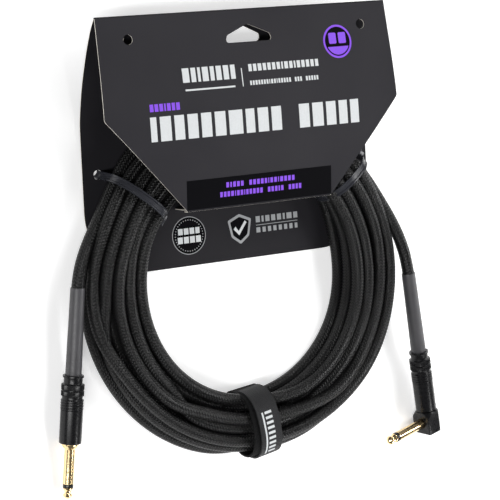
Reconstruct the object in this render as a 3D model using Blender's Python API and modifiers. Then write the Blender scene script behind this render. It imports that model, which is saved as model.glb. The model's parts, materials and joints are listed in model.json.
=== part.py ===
"""Coiled instrument cable on its folded hanging card, lying on its back on a table.

Metres, +Z up. The origin is the middle of the footprint, on the table. The card's crease is at +Y and the
strap that holds the coil is at -Y. The straight plug lies on the -X side, the right-angle plug on the +X side.
Sizes are written in millimetres times MM. Places are measured from the middle of the card's crease, at
table height, and at() moves them into the object's own frame.
"""
import math

import bmesh
import bpy
from mathutils import Matrix, Vector

MM = 0.001
CREASE = (-1.908, 142.784)  # the middle of the crease, from the origin

# Cable
CABLE_RADIUS = 3.8
COIL_CENTRE = (-4.0, -166.0)
COIL_INNER = 70.0
COIL_OUTER = 108.5
COIL_BOTTOM = 2.4
COIL_TOP = 27.0
COIL_CORNER = 8.0
COIL_STEPS = 72
ROUTE_STEP = 9.0
JACKET_END = -22.0  # where the braid is cut back, along a plug's axis
GAP = 0.3  # between pieces that touch

# Plugs: heights along a plug's own axis run from the barrel's front face towards the contact
BARREL_LENGTH = 41.0
BOOT_LENGTH = 52.0
BOOT_OVERLAP = 3.0
ANGLED_BOOT_LENGTH = 54.0
SHAFT_RADIUS = 3.175  # a quarter inch across
SHAFT_LENGTH = 34.0
RING_WIDTH = 1.9
TIP_LENGTH = 6.8
STEM_RADIUS = 5.3
STEM_LENGTH = 6.0
STRAIGHT_BOOT_TOP = (-117.5, -155.8, 13.0)
STRAIGHT_DIRECTION = (-10.1, -91.6, -6.2)
ELBOW_CENTRE = (129.5, -275.9, 8.6)
ELBOW_DIRECTION = (0.16, -0.985, -0.115)
CONTACT_DIRECTION = (-30.0, -4.8, 6.0)
ELBOW_REACH = 8.0  # from the barrel's front face to the contact's axis
ELBOW_HEIGHT = 15.0
ROUND_STEPS = 24

# Where each lead runs from the end of its boot into the coil
STRAIGHT_LEAD_ROUTE = ((-115.5, -145.1, 13.4), (-109.8, -133.6, 12.6), (-100.8, -119.3, 11.8),
                       (-91.0, -108.0, 11.2))
ANGLED_LEAD_ROUTE = ((110.6, -160.2, 20.8), (107.8, -148.2, 17.9), (104.0, -137.2, 15.2),
                     (96.5, -126.5, 13.2), (88.0, -118.0, 12.5))

# Strap
STRAP_ANGLE = -89.4
STRAP_TURN = 9.0  # how far the strap is turned from straight across the bundle
STRAP_WIDTH = 16.0
STRAP_THICKNESS = 1.4
STRAP_CLEARANCE = 0.4
STRAP_SIDE_CLEARANCES = (4.0, 2.2)  # inside and outside: the coil's sides are curved and the strap is flat
STRAP_TAIL_END = 7.0

# Cable ties
TIE_WIDTH = 4.8
TIE_THICKNESS = 1.2
TIE_CLEARANCE = 0.6
TIE_ANGLES = {"left": 140.3, "right": 37.3}
TIE_HOLE_REACH = {"left": 116.0, "right": 116.0}
TIE_HOLE_RADIUS = 3.0

# Card
CARD_THICKNESS = 0.5
CREASE_HEIGHT = 28.6
FRONT_PROFILE = ((-0.35, 28.8), (-20.0, 31.2), (-40.0, 33.6), (-59.6, 35.0), (-80.0, 34.8),
                 (-100.0, 33.4), (-117.2, 31.6))
BACK_PROFILE = ((-0.35, 28.0), (-4.0, 24.8), (-10.0, 20.8), (-21.0, 15.0), (-36.0, 8.6), (-46.0, 5.4),
                (-56.0, 3.0), (-62.0, 2.05), (-70.0, 1.75), (-160.0, 1.75))
CREASE_HALF_WIDTH = 100.8
KINK_HALF_WIDTH = 102.5
KINK_DEPTH = 59.6
FRONT_HALF_WIDTH = 51.0
FRONT_DEPTH = 116.9
BACK_LEFT_WIDTH = 105.5
BACK_RIGHT_WIDTH = 97.0
BACK_DEPTH = 153.5
BACK_CORNER = 38.0
HANG_HOLE = ((-16.4, -19.5, 1.8), (16.4, -19.5, 1.8), (14.8, -15.0, 2.4), (0.0, -8.8, 2.4),
             (-14.8, -15.0, 2.4))
PUNCH_HOLE = (81.1, -13.5)
PUNCH_RADIUS = 3.0
TONGUE_HALF_WIDTH = 45.0
TONGUE_FOOT = 2.4


def clear_scene():
    for obj in list(bpy.data.objects):
        bpy.data.objects.remove(obj)


def new_collection(name):
    made = bpy.data.collections.new(name)
    bpy.context.scene.collection.children.link(made)
    return made


def new_material(name, color, roughness, metallic=0.0):
    made = bpy.data.materials.new(name)
    made.use_nodes = True
    shader = made.node_tree.nodes["Principled BSDF"]
    shader.inputs["Base Color"].default_value = (*color, 1.0)
    shader.inputs["Roughness"].default_value = roughness
    shader.inputs["Metallic"].default_value = metallic
    return made


def at(x, y, z):
    """A place given in millimetres from the middle of the crease, at table height."""
    return Vector(((x + CREASE[0]) * MM, (y + CREASE[1]) * MM, z * MM))


def axis_frame(origin, direction, towards=(0, 0, 1)):
    """A frame at origin whose +Z runs along direction and whose +X leans towards the given vector."""
    along = Vector(direction).normalized()
    across = Vector(towards) - along * Vector(towards).dot(along)
    across.normalize()
    frame = Matrix.Identity(4)
    frame.col[0].xyz = across
    frame.col[1].xyz = along.cross(across)
    frame.col[2].xyz = along
    frame.col[3].xyz = origin
    return frame


def coil_frame(angle, turned_by=0.0):
    """A frame at the coil's centre: +X out along the angle, +Y up, +Z along the cable's run.

    It can be turned about the upright line through the middle of the bundle.
    """
    turn = math.radians(angle)
    outward = Vector((math.cos(turn), math.sin(turn), 0))
    up = Vector((0, 0, 1))
    frame = Matrix.Identity(4)
    frame.col[0].xyz = outward
    frame.col[1].xyz = up
    frame.col[2].xyz = outward.cross(up)
    frame.col[3].xyz = at(*COIL_CENTRE, 0)
    pivot = Matrix.Translation(((COIL_INNER + COIL_OUTER) / 2 * MM, 0, 0))
    return frame @ pivot @ Matrix.Rotation(math.radians(turned_by), 4, "Y") @ pivot.inverted()


def add_object(name, data, material, frame=None):
    obj = bpy.data.objects.new(name, data)
    parts.objects.link(obj)
    if frame is not None:
        obj.matrix_world = frame
    if material is not None:
        data.materials.append(material)
    return obj


def turned(name, profile, material, frame, steps=ROUND_STEPS):
    """A turned shape from (radius, height) points that run down its outer side."""
    mesh = bpy.data.meshes.new(name)
    points = [(radius * MM, 0, height * MM) for radius, height in profile]
    edges = [(i, i + 1) for i in range(len(points) - 1)]
    if profile[0][0] > 0:
        edges.append((len(points) - 1, 0))
    mesh.from_pydata(points, edges, [])
    obj = add_object(name, mesh, material, frame)
    screw = obj.modifiers.new("Turn", "SCREW")
    screw.steps = steps
    screw.render_steps = steps
    screw.use_merge_vertices = True
    screw.merge_threshold = 0.00001
    screw.use_smooth_shade = True
    return obj


def sleeve_profile(outer, inner, top, bottom):
    return [(outer, top), (outer, bottom), (inner, bottom), (inner, top)]


def tube(name, points, radius, material):
    curve = bpy.data.curves.new(name, "CURVE")
    curve.dimensions = "3D"
    curve.bevel_depth = radius * MM
    curve.bevel_resolution = 2
    curve.use_fill_caps = True
    spline = curve.splines.new("POLY")
    spline.points.add(len(points) - 1)
    for point, place in zip(spline.points, points):
        point.co = (*place, 1)
    return add_object(name, curve, material)


def plate(name, outlines, thickness, material, frame):
    """A flat plate: the first outline is its edge and the others are holes, in millimetres."""
    curve = bpy.data.curves.new(name, "CURVE")
    curve.dimensions = "2D"
    curve.fill_mode = "BOTH"
    curve.extrude = thickness * MM / 2
    for outline in outlines:
        spline = curve.splines.new("POLY")
        spline.points.add(len(outline) - 1)
        spline.use_cyclic_u = True
        for point, (x, y) in zip(spline.points, outline):
            point.co = (x * MM, y * MM, 0, 1)
    return add_object(name, curve, material, frame)


def as_mesh(obj):
    """The same object with its modifiers applied, as a welded mesh that a Boolean can use."""
    bpy.context.view_layer.update()
    graph = bpy.context.evaluated_depsgraph_get()
    name, frame = obj.name, obj.matrix_world.copy()
    mesh = bpy.data.meshes.new_from_object(obj.evaluated_get(graph), depsgraph=graph)
    bpy.data.objects.remove(obj)
    welded = bmesh.new()
    welded.from_mesh(mesh)
    bmesh.ops.remove_doubles(welded, verts=welded.verts, dist=0.000001)
    bmesh.ops.recalc_face_normals(welded, faces=welded.faces)
    welded.to_mesh(mesh)
    welded.free()
    solid = bpy.data.objects.new(name, mesh)
    parts.objects.link(solid)
    solid.matrix_world = frame
    return solid


def combine(obj, tool, operation):
    """Adds, cuts or trims obj with tool, which becomes a hidden cutter."""
    for owner in tool.users_collection:
        owner.objects.unlink(tool)
    cutters.objects.link(tool)
    tool.hide_render = True
    tool.display_type = "WIRE"
    boolean = obj.modifiers.new(tool.name, "BOOLEAN")
    boolean.operation = operation
    boolean.solver = "EXACT"
    boolean.object = tool
    return obj


def prism(name, outline, low, high, frame):
    """A solid of the outline between two heights, for cutting."""
    middle = frame @ Matrix.Translation((0, 0, (low + high) / 2 * MM))
    return as_mesh(plate(name, [outline], high - low, None, middle))


def rod(name, radius, low, high, frame, steps=ROUND_STEPS):
    return as_mesh(turned(name, [(0, high), (radius, high), (radius, low), (0, low)], None, frame, steps))


def filleted(corners, steps=4):
    """A closed outline through (x, y, radius) corners, each rounded to its radius."""
    outline = []
    count = len(corners)
    for i, (x, y, radius) in enumerate(corners):
        corner = Vector((x, y))
        before = (Vector(corners[i - 1][:2]) - corner).normalized()
        after = (Vector(corners[(i + 1) % count][:2]) - corner).normalized()
        if radius == 0:
            outline.append(tuple(corner))
            continue
        half = before.angle(after) / 2
        middle = corner + (before + after).normalized() * (radius / math.sin(half))
        first = corner + before * (radius / math.tan(half)) - middle
        last = corner + after * (radius / math.tan(half)) - middle
        swing = first.angle_signed(last)
        for step in range(steps + 1):
            turn = Matrix.Rotation(-swing * step / steps, 2)
            outline.append(tuple(middle + turn @ first))
    return outline


def grown(corners, distance):
    """The corners of a counterclockwise outline, each side moved outwards by distance."""
    moved = []
    count = len(corners)
    for i, (x, y, radius) in enumerate(corners):
        corner = Vector((x, y))
        arriving = (corner - Vector(corners[i - 1][:2])).normalized()
        leaving = (Vector(corners[(i + 1) % count][:2]) - corner).normalized()
        normals = Vector((arriving.y, -arriving.x)), Vector((leaving.y, -leaving.x))
        shift = (normals[0] + normals[1]) / (1 + normals[0].dot(normals[1]))
        moved.append((*(corner + shift * distance), radius + distance))
    return moved


def circle(x, y, radius, steps=16):
    turns = [2 * math.pi * i / steps for i in range(steps)]
    return [(x + radius * math.cos(turn), y + radius * math.sin(turn)) for turn in turns]


def smooth_route(points, step):
    """Evenly spaced points on a smooth curve through the given ones."""
    padded = [points[0] * 2 - points[1], *points, points[-1] * 2 - points[-2]]
    fine = []
    for a, b, c, d in zip(padded, padded[1:], padded[2:], padded[3:]):
        for k in range(20):
            t = k / 20
            fine.append(0.5 * (2 * b + (c - a) * t + (2 * a - 5 * b + 4 * c - d) * t * t
                               + (3 * b - a - 3 * c + d) * t ** 3))
    fine.append(points[-1])
    route, walked = [fine[0]], 0.0
    for before, after in zip(fine, fine[1:]):
        walked += (after - before).length
        if walked >= step * MM:
            route.append(after)
            walked = 0.0
    return route


# ---- Plugs ----

def barrel_profile():
    """The barrel's outer side from its front face to its rear rim, then back up through its bore."""
    outer = [(6.45, 0), (6.7, -0.3), (6.7, -20.2)]
    for rib in range(4):
        top = -20.4 - 1.6 * rib
        outer += [(6.5, top), (6.85, top - 0.2), (6.85, top - 1.1), (6.5, top - 1.3)]
    outer += [(6.2, -26.9), (6.2, -28.5), (6.9, -28.8), (6.9, -31.6), (6.5, -31.9), (6.5, -32.2)]
    outer += [(6.9, -32.5), (6.9, -35.6), (5.55, -36.0), (5.55, -39.4), (6.25, -39.7)]
    outer += [(6.25, -BARREL_LENGTH)]
    bore = [(5.05, -BARREL_LENGTH), (5.05, -35.5), (5.6, -34.9), (5.6, 0)]
    return outer + bore


def tip_profile(base, rod_end):
    """The tip contact and the rod behind it, from its point down to the rod's end."""
    return [(0, base + TIP_LENGTH), (0.7, base + TIP_LENGTH - 0.2), (2.95, base + 4.4), (2.95, base + 4.1),
            (2.0, base + 3.4), (2.0, base + 2.4), (3.05, base + 0.5), (3.05, base), (1.0, base),
            (1.0, rod_end), (0, rod_end)]


def contact_pieces(side, frame, top, sleeve, rod_end, insulator_end):
    """The tip with its rod, the ring and tube that insulate it, and the sleeve around them."""
    ring_bottom = top - TIP_LENGTH - RING_WIDTH - 0.6
    turned(f"{side}_sleeve", sleeve + [(1.95, sleeve[-1][1]), (1.95, ring_bottom)], gold, frame)
    ring = sleeve_profile(SHAFT_RADIUS, 1.25, ring_bottom + 0.3 + RING_WIDTH, ring_bottom + 0.3)
    turned(f"{side}_tip_ring", ring, insulator, frame)
    turned(f"{side}_tip", tip_profile(top - TIP_LENGTH, rod_end), gold, frame)
    lining = sleeve_profile(1.7, 1.25, ring_bottom - 0.2, insulator_end)
    turned(f"{side}_rod_insulator", lining, insulator, frame, 16)


def cable_end_pieces(side, frame, boot_length, core_top):
    """What holds the cable in either plug: barrel, liner, boot, ground lug, core and shield tail."""
    turned(f"{side}_barrel", barrel_profile(), black_metal, frame)
    turned(f"{side}_liner", sleeve_profile(5.35, 5.05, -7.0, -34.4), liner_plastic, frame)
    mouth = -BARREL_LENGTH + BOOT_OVERLAP
    far_end = -BARREL_LENGTH - boot_length
    boot = [(4.85, mouth), (4.35, far_end), (4.0, far_end), (4.0, mouth)]
    turned(f"{side}_boot", boot, boot_rubber, frame)
    lug = as_mesh(turned(f"{side}_ground_lug", sleeve_profile(4.8, 4.1, -6.4, -7.2), None, frame))
    lug.data.materials.append(tinned_steel)
    clamp = as_mesh(turned(f"{side}_clamp_band", sleeve_profile(4.65, 4.1, -25.0, -30.0), None, frame))
    combine(lug, clamp, "UNION")
    arm = [(4.15, -1.4), (4.55, -1.4), (4.55, 1.4), (4.15, 1.4)]
    combine(lug, prism(f"{side}_lug_arm", arm, -29.0, -6.8, frame), "UNION")
    core = [(0, core_top), (1.2, core_top), (1.2, -21.7), (0, -21.7)]
    turned(f"{side}_core", core, core_plastic, frame, 16)
    drain = [Vector((2.2, 0, -21.7)), Vector((2.4, 0, -20.4)), Vector((3.0, 0, -19.0)),
             Vector((3.25, 0, -17.4)), Vector((3.25, 0, -15.0))]
    tube(f"{side}_shield_tail", [frame @ (place * MM) for place in drain], 0.45, copper)


def lead(side, frame, boot_length, places):
    """The stretch of cable from inside the plug, through the boot, to where it joins the coil."""
    past_boot = -BARREL_LENGTH - boot_length - 3.0
    spacing = (JACKET_END - past_boot) / 7
    inside = [frame @ Vector((0, 0, (JACKET_END - spacing * i) * MM)) for i in range(8)]
    route = smooth_route(inside + [at(*place) for place in places], ROUTE_STEP)
    made = as_mesh(tube(f"cable_lead_{side}", route, CABLE_RADIUS, None))
    made.data.materials.append(braid)
    room = as_mesh(turned(f"{side}_lead_trim", coil_section(GAP), None, coil_base(), COIL_STEPS))
    combine(made, room, "DIFFERENCE")


def straight_plug():
    along = Vector(STRAIGHT_DIRECTION).normalized()
    front = at(*STRAIGHT_BOOT_TOP) + along * (BOOT_LENGTH + BARREL_LENGTH) * MM
    frame = axis_frame(front, along)
    sleeve = [(SHAFT_RADIUS, SHAFT_LENGTH - TIP_LENGTH - RING_WIDTH - 0.6), (SHAFT_RADIUS, 3.2),
              (4.2, 2.6), (5.2, 1.0), (STEM_RADIUS, 0.4), (STEM_RADIUS, -STEM_LENGTH), (3.4, -STEM_LENGTH),
              (3.4, -9.3)]
    contact_pieces("straight", frame, SHAFT_LENGTH, sleeve, -12.6, -9.0)
    turned("straight_rear_washer", sleeve_profile(3.3, 1.25, -9.6, -10.4), insulator, frame)
    lug = as_mesh(turned("straight_tip_lug", sleeve_profile(2.5, 1.3, -10.7, -11.5), None, frame))
    lug.data.materials.append(tinned_steel)
    tab = [(-2.5, -1.1), (-1.9, -1.1), (-1.9, 1.1), (-2.5, 1.1)]
    combine(lug, prism("straight_lug_tab", tab, -18.0, -11.0, frame), "UNION")
    cable_end_pieces("straight", frame, BOOT_LENGTH, -13.2)
    lead("straight", frame, BOOT_LENGTH, STRAIGHT_LEAD_ROUTE)


def elbow_housing(frame, contact):
    """The block that turns the contact square to the cable, with a threaded stem for the barrel."""
    block = [(6.5, 7.2, 0.8), (-3.5, 7.2, 1.0), (-7.0, 4.0, 1.0), (-7.0, -4.0, 1.0), (-3.5, -7.2, 1.0),
             (6.5, -7.2, 0.8)]
    housing = prism("angled_elbow_housing", filleted(block, 2), 0.3, ELBOW_HEIGHT, frame)
    housing.data.materials.append(black_metal)
    flare = [(0, ELBOW_HEIGHT + 1), (12.0, ELBOW_HEIGHT + 1), (12.0, 7.5), (6.9, 0.2), (0, 0.2)]
    combine(housing, as_mesh(turned("elbow_shoulders", flare, None, frame, 32)), "INTERSECT")
    combine(housing, rod("elbow_stem", STEM_RADIUS, -STEM_LENGTH, 2.0, frame), "UNION")
    combine(housing, rod("elbow_chamber", 4.0, -STEM_LENGTH - 1, 12.0, frame), "DIFFERENCE")
    combine(housing, rod("elbow_contact_bore", 3.45, 0.0, 9.0, contact), "DIFFERENCE")


def angled_plug():
    along = Vector(ELBOW_DIRECTION).normalized()
    centre = at(*ELBOW_CENTRE)
    outward = Vector(CONTACT_DIRECTION)
    outward = (outward - along * outward.dot(along)).normalized()
    frame = axis_frame(centre - along * ELBOW_REACH * MM, along, outward)
    contact = axis_frame(centre, outward, along)
    elbow_housing(frame, contact)
    top = SHAFT_LENGTH + 5.2
    sleeve = [(SHAFT_RADIUS, top - TIP_LENGTH - RING_WIDTH - 0.6), (SHAFT_RADIUS, 3.2)]
    contact_pieces("angled", contact, top, sleeve, -2.6, 2.4)
    plate_outline = [(-1.2, -1.6), (-0.6, -1.6), (-0.6, 1.6), (-1.2, 1.6)]
    lug = prism("angled_tip_lug", plate_outline, -9.0, 10.4, frame)
    lug.data.materials.append(tinned_steel)
    combine(lug, rod("angled_lug_hole", 1.3, -4.0, 2.0, contact, 16), "DIFFERENCE")
    cable_end_pieces("angled", frame, ANGLED_BOOT_LENGTH, -9.6)
    lead("angled", frame, ANGLED_BOOT_LENGTH, ANGLED_LEAD_ROUTE)


# ---- Coil, strap and ties ----

def coil_base():
    return Matrix.Translation(at(*COIL_CENTRE, 0))


def coil_section(margin=0.0):
    """The coil's cross-section as (radius, height), run down its outer side."""
    corners = [(COIL_INNER, COIL_BOTTOM, COIL_CORNER), (COIL_OUTER, COIL_BOTTOM, COIL_CORNER),
               (COIL_OUTER, COIL_TOP, COIL_CORNER), (COIL_INNER, COIL_TOP, COIL_CORNER)]
    return filleted(grown(corners, margin), 3)[::-1]


def cable_coil():
    turned("cable_coil", coil_section(), braid, coil_base(), COIL_STEPS)


def wrap_strap():
    """The hook-and-loop strap: a closed loop round the bundle and the tail pressed onto it."""
    frame = coil_frame(STRAP_ANGLE, STRAP_TURN)
    low, top = STRAP_THICKNESS, COIL_TOP + STRAP_CLEARANCE
    inner, outer = COIL_INNER - STRAP_SIDE_CLEARANCES[0], COIL_OUTER + STRAP_SIDE_CLEARANCES[1]
    loop = [(inner, low, COIL_CORNER), (outer, low, COIL_CORNER), (outer, top, COIL_CORNER),
            (inner, top, COIL_CORNER)]
    outlines = [filleted(grown(loop, STRAP_THICKNESS)), filleted(loop)]
    plate("wrap_strap", outlines, STRAP_WIDTH + 2, strap_nylon, frame)
    under = top + STRAP_THICKNESS + GAP
    inside = outer + STRAP_THICKNESS + GAP
    bend = COIL_CORNER + STRAP_THICKNESS + GAP
    start = COIL_INNER + COIL_CORNER
    tail = [(start, under, 0), (inside, under, bend), (inside, STRAP_TAIL_END, 0),
            (inside + STRAP_THICKNESS, STRAP_TAIL_END, 0),
            (inside + STRAP_THICKNESS, under + STRAP_THICKNESS, bend + STRAP_THICKNESS),
            (start, under + STRAP_THICKNESS, 0)]
    plate("wrap_strap_tail", [filleted(tail)], STRAP_WIDTH, strap_nylon, frame)


def cable_tie(side):
    """A nylon tie round the bundle, through two holes in the card's back, with its head."""
    frame = coil_frame(TIE_ANGLES[side])
    clear = TIE_CLEARANCE
    leg = TIE_HOLE_REACH[side] - TIE_THICKNESS / 2
    loop = [(COIL_INNER - clear, TIE_THICKNESS, 1.0), (leg, TIE_THICKNESS, 1.0),
            (COIL_OUTER + clear, COIL_TOP + clear, COIL_CORNER + clear),
            (COIL_INNER - clear, COIL_TOP + clear, COIL_CORNER + clear)]
    outlines = [filleted(grown(loop, TIE_THICKNESS)), filleted(loop)]
    tie = as_mesh(plate(f"cable_tie_{side}", outlines, TIE_WIDTH, None, frame))
    tie.data.materials.append(tie_nylon)
    inner = COIL_INNER - clear
    outer = COIL_OUTER + 1.6
    head = {"left": [(inner - 5.0, 8.0), (inner - 0.4, 8.0), (inner - 0.4, 14.0), (inner - 5.0, 14.0)],
            "right": [(outer + 3.2, 3.0), (outer + 7.2, 3.0), (outer + 7.2, 9.0), (outer + 3.2, 9.0)]}
    box = plate(f"tie_head_{side}", [head[side]], TIE_WIDTH + 2, None, frame)
    combine(tie, as_mesh(box), "UNION")


# ---- Card ----

def bent_sheet(name, profile, outline, holes):
    """Card bent along the (y, height) profile and cut to a plan outline with holes."""
    reach = BACK_LEFT_WIDTH + 5
    mesh = bpy.data.meshes.new(name)
    points = [at(side * reach, y, height) for y, height in profile for side in (-1, 1)]
    faces = [(2 * i, 2 * i + 1, 2 * i + 3, 2 * i + 2) for i in range(len(profile) - 1)]
    mesh.from_pydata(points, [], faces)
    sheet = add_object(name, mesh, card_board)
    skin = sheet.modifiers.new("Thickness", "SOLIDIFY")
    skin.thickness = CARD_THICKNESS * MM
    skin.offset = 0
    skin.use_even_offset = True
    base = Matrix.Translation(at(0, 0, 0))
    combine(sheet, prism(f"{name}_outline", outline, -5, 60, base), "INTERSECT")
    for number, hole in enumerate(holes):
        combine(sheet, prism(f"{name}_hole_{number}", hole, -5, 60, base), "DIFFERENCE")
    return sheet


def shared_holes():
    """The hang hole and the punched holes, which both panels have."""
    return [filleted(HANG_HOLE, 2), circle(PUNCH_HOLE[0], PUNCH_HOLE[1], PUNCH_RADIUS),
            circle(-PUNCH_HOLE[0], PUNCH_HOLE[1], PUNCH_RADIUS)]


def tie_holes():
    """Where each tie goes down through the back panel, on both sides of the bundle."""
    holes = []
    for side, angle in TIE_ANGLES.items():
        turn = math.radians(angle)
        for reach in (TIE_HOLE_REACH[side], COIL_INNER - TIE_CLEARANCE - TIE_THICKNESS / 2):
            x = COIL_CENTRE[0] + reach * math.cos(turn)
            y = COIL_CENTRE[1] + reach * math.sin(turn)
            holes.append(circle(x, y, TIE_HOLE_RADIUS))
    return holes


def card():
    back = [(-CREASE_HALF_WIDTH, 0.2, 0), (-BACK_LEFT_WIDTH, -BACK_DEPTH, BACK_CORNER),
            (BACK_RIGHT_WIDTH, -BACK_DEPTH, BACK_CORNER), (CREASE_HALF_WIDTH, 0.2, 0)]
    bent_sheet("card_back", BACK_PROFILE, filleted(back, 8), shared_holes() + tie_holes())
    front = [(-CREASE_HALF_WIDTH, 0.2, 0), (-KINK_HALF_WIDTH, -KINK_DEPTH, 3.0),
             (-FRONT_HALF_WIDTH, -FRONT_DEPTH, 1.0), (FRONT_HALF_WIDTH, -FRONT_DEPTH, 1.0),
             (KINK_HALF_WIDTH, -KINK_DEPTH, 3.0), (CREASE_HALF_WIDTH, 0.2, 0)]
    bent_sheet("card_front", FRONT_PROFILE, filleted(front, 2), shared_holes())
    top = FRONT_PROFILE[-1][1] - CARD_THICKNESS
    tongue = [(-TONGUE_HALF_WIDTH, TONGUE_FOOT, 4.0), (TONGUE_HALF_WIDTH, TONGUE_FOOT, 4.0),
              (TONGUE_HALF_WIDTH, 22.0, 2.0), (FRONT_HALF_WIDTH, 28.0, 2.0), (FRONT_HALF_WIDTH, top, 0),
              (-FRONT_HALF_WIDTH, top, 0), (-FRONT_HALF_WIDTH, 28.0, 2.0), (-TONGUE_HALF_WIDTH, 22.0, 2.0)]
    upright = Matrix.Translation(at(0, -FRONT_DEPTH - CARD_THICKNESS, 0)) @ Matrix.Rotation(math.pi / 2, 4, "X")
    plate("card_tongue", [filleted(tongue)], CARD_THICKNESS, card_board, upright)


clear_scene()
parts = new_collection("instrument_cable")
cutters = new_collection("cutters")
cutters.hide_render = True
braid = new_material("braid", (0.014, 0.014, 0.015), 0.6)
boot_rubber = new_material("boot_rubber", (0.02, 0.02, 0.022), 0.45)
black_metal = new_material("black_metal", (0.015, 0.015, 0.016), 0.3, 1.0)
gold = new_material("gold", (0.93, 0.62, 0.22), 0.18, 1.0)
insulator = new_material("insulator", (0.01, 0.01, 0.01), 0.35)
liner_plastic = new_material("liner_plastic", (0.72, 0.72, 0.68), 0.5)
tinned_steel = new_material("tinned_steel", (0.6, 0.6, 0.58), 0.35, 1.0)
core_plastic = new_material("core_plastic", (0.75, 0.73, 0.68), 0.5)
copper = new_material("copper", (0.72, 0.4, 0.25), 0.35, 1.0)
strap_nylon = new_material("strap_nylon", (0.025, 0.025, 0.027), 0.85)
tie_nylon = new_material("tie_nylon", (0.03, 0.032, 0.038), 0.35)
card_board = new_material("card_board", (0.037, 0.037, 0.04), 0.55)

cable_coil()
straight_plug()
angled_plug()
wrap_strap()
cable_tie("left")
cable_tie("right")
card()
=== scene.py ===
"""The looks of a coiled instrument cable on its folded hanging card.

Sizes are written in millimetres. Places are measured from the middle of the card's crease, at table
height, and at() moves them into the frame, as in the CAD.
"""
import json
import math

import bmesh
import bpy
import numpy as np
from mathutils import Matrix, Vector


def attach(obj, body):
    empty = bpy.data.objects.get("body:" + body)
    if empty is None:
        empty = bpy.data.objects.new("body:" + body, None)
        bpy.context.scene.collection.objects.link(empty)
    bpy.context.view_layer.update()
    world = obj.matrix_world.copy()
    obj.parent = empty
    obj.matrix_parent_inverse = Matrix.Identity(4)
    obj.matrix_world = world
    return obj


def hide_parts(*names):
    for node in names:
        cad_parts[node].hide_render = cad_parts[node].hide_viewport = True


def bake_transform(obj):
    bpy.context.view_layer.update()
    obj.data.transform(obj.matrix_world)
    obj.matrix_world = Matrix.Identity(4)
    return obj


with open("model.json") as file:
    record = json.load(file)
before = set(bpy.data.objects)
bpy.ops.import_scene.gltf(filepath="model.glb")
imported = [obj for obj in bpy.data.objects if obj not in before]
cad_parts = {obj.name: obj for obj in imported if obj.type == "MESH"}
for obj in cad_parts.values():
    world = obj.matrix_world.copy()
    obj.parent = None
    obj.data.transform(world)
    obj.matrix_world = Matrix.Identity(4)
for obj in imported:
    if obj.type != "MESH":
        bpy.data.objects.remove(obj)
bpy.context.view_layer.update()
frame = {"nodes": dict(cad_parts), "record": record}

MM = 0.001
CREASE = (-1.908, 142.784)
CABLE_RADIUS = 3.8
COIL_CENTRE = (-4.0, -166.0)

# Plugs, as in the CAD: heights along a plug's axis run from the barrel's front face to the contact
BARREL_LENGTH = 41.0
BOOT_LENGTH = 52.0
ANGLED_BOOT_LENGTH = 54.0
KNURL_TEETH = 72
SHAFT_RADIUS = 3.175
SHAFT_LENGTH = 34.0
ANGLED_SHAFT_LENGTH = 39.2
RING_WIDTH = 1.9
TIP_LENGTH = 6.8
STRAIGHT_BOOT_TOP = (-117.5, -155.8, 13.0)
STRAIGHT_DIRECTION = (-10.1, -91.6, -6.2)
ELBOW_CENTRE = (129.5, -275.9, 8.6)
ELBOW_DIRECTION = (0.16, -0.985, -0.115)
CONTACT_DIRECTION = (-30.0, -4.8, 6.0)
ELBOW_REACH = 8.0

# The cable's own route outside the coil, from each boot to where it runs in among the turns
STRAIGHT_LEAD_ROUTE = ((-115.5, -145.1, 13.4), (-109.8, -133.6, 12.6), (-100.8, -119.3, 11.8),
                       (-89.6, -101.3, 11.0), (-78.9, -84.9, 10.2), (-65.5, -75.0, 9.4),
                       (-48.0, -65.5, 8.6), (-24.0, -62.0, 7.4))
ANGLED_LEAD_ROUTE = ((110.6, -160.2, 20.8), (107.8, -148.2, 17.9), (104.0, -137.2, 15.2),
                     (98.0, -125.5, 13.2), (91.0, -112.7, 12.0), (82.8, -101.8, 11.2),
                     (71.6, -91.9, 10.5))

# Winding
BINS = 120  # places round the coil where the turns' cross-section is worked out
TURNS = 13
START_ANGLE = 174.8
END_ANGLE = -3.9
CENTRE_RADII = (73.4, 105.6)  # where a turn's middle may lie
CEILING = 23.3
CROWN = 7.0  # how much lower the bundle's top is at its edges
STRAP_SQUEEZE = 3.5
TIE_SQUEEZES = ((38.0, 6.0, 14.0), (152.0, 3.5, 26.0))  # angle, how far inwards turns are held off, spread
TURN_SPACING = 9.0
TURN_GAP = 0.12  # between turns that lie on each other
TURN_REACHES = (104.6, 97.0, 89.5, 82.0, 74.4, 78.6, 86.4, 94.0, 101.6, 76.0, 84.5, 92.0, 99.5, 100.5)
# Turn, place, spread and size of the swaps between rows
SWAPS = ((10, 94, 15, 8.0), (11, 90, 15, -8.0), (12, 102, 13, -6.0), (9, 70, 14, 7.0))
PRESS_STEPS = 900
SETTLE_STEPS = 500
SINK = 0.12  # how far the turns drop at each step
PULL = 0.03  # share of the way to its wanted reach that a turn moves at each step
PUSH = 0.42  # share of an overlap by which each of two turns gives way
BEND_PASSES = 6  # how stiffly the turns keep a smooth curve
RING_SPACING = 1.95  # between the rings of the cable's mesh
CABLE_SIDES = 24

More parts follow.
